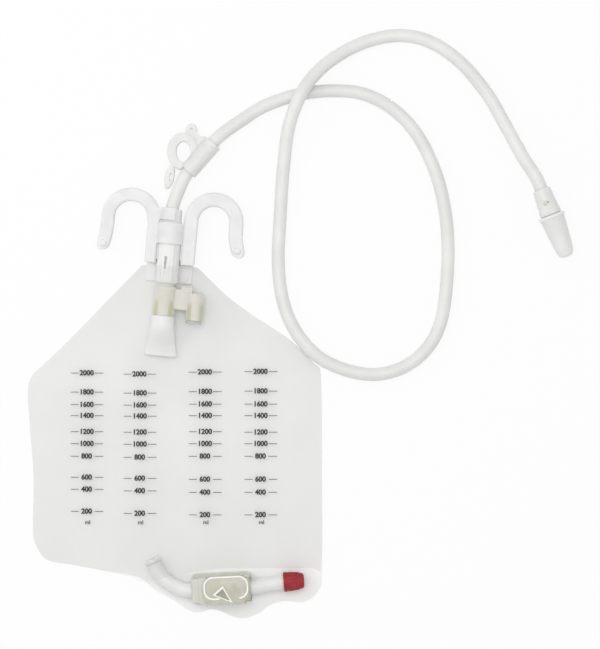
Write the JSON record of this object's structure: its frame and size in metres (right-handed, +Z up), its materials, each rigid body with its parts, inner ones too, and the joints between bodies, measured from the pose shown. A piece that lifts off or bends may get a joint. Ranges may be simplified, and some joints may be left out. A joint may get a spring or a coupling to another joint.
{
  "type": "urine drainage bag",
  "caption": "Flat two-litre urine drainage bag with hanger hooks, drip chamber, long capped inlet tube, sheet clip and a lever-clamped drain outlet.",
  "frame": {"origin": "middle of the bag with its hooks and drain outlet, on the surface that the bag lies on; the long inlet tube is left out of that middle", "axes": "+Y towards the hooks, +X towards the drain cap, +Z up from the surface through the film"},
  "size_m": [0.4292, 0.4646, 0.0215],
  "materials": {
    "frosted_film": "frosted, translucent",
    "translucent_polypropylene": "satin, translucent",
    "clear_tube_vinyl": "clear, slightly yellow",
    "yellow_port_vinyl": "clear yellow",
    "clamp_plastic": "satin",
    "white_plastic": "satin",
    "red_vinyl": "satin",
    "filter_grey": "matt"
  },
  "bodies": {
    "bag": {"back_film": "frosted_film", "front_film": "frosted_film", "anti_reflux_valve": "frosted_film", "port_fitment": "yellow_port_vinyl", "vent_plug": "filter_grey", "drip_chamber": "translucent_polypropylene", "hanger": "translucent_polypropylene", "inlet_tube": "clear_tube_vinyl", "tube_connector": "white_plastic", "drain_port": "yellow_port_vinyl", "drain_tube": "clear_tube_vinyl", "clamp_body": "clamp_plastic"},
    "clamp_lever": {"clamp_lever": "white_plastic"},
    "drain_cap": {"drain_cap": "red_vinyl"},
    "connector_cap": {"connector_cap": "translucent_polypropylene"},
    "sheet_clip": {"sheet_clip": "translucent_polypropylene"}
  },
  "joints": [
    {"name": "clamp_lever_hinge", "type": "hinge", "parent": "bag", "child": "clamp_lever", "pos_m": [0.05748, -0.14543, 0.01545], "axis": [-0.0523, 0.9986, 0], "range_deg": [0, 80]},
    {"name": "drain_cap_pull", "type": "slide", "parent": "bag", "child": "drain_cap", "axis": [0.9969, 0.0785, 0], "range_m": [0, 0.02]},
    {"name": "connector_cap_pull", "type": "slide", "parent": "bag", "child": "connector_cap", "axis": [0.36, -0.933, 0], "range_m": [0, 0.035]},
    {"name": "sheet_clip_swing", "type": "hinge", "parent": "bag", "child": "sheet_clip", "pos_m": [0.0207, 0.1928, 0.0059], "axis": [0.66, 0.7513, 0], "range_deg": [0, 12]}
  ]
}
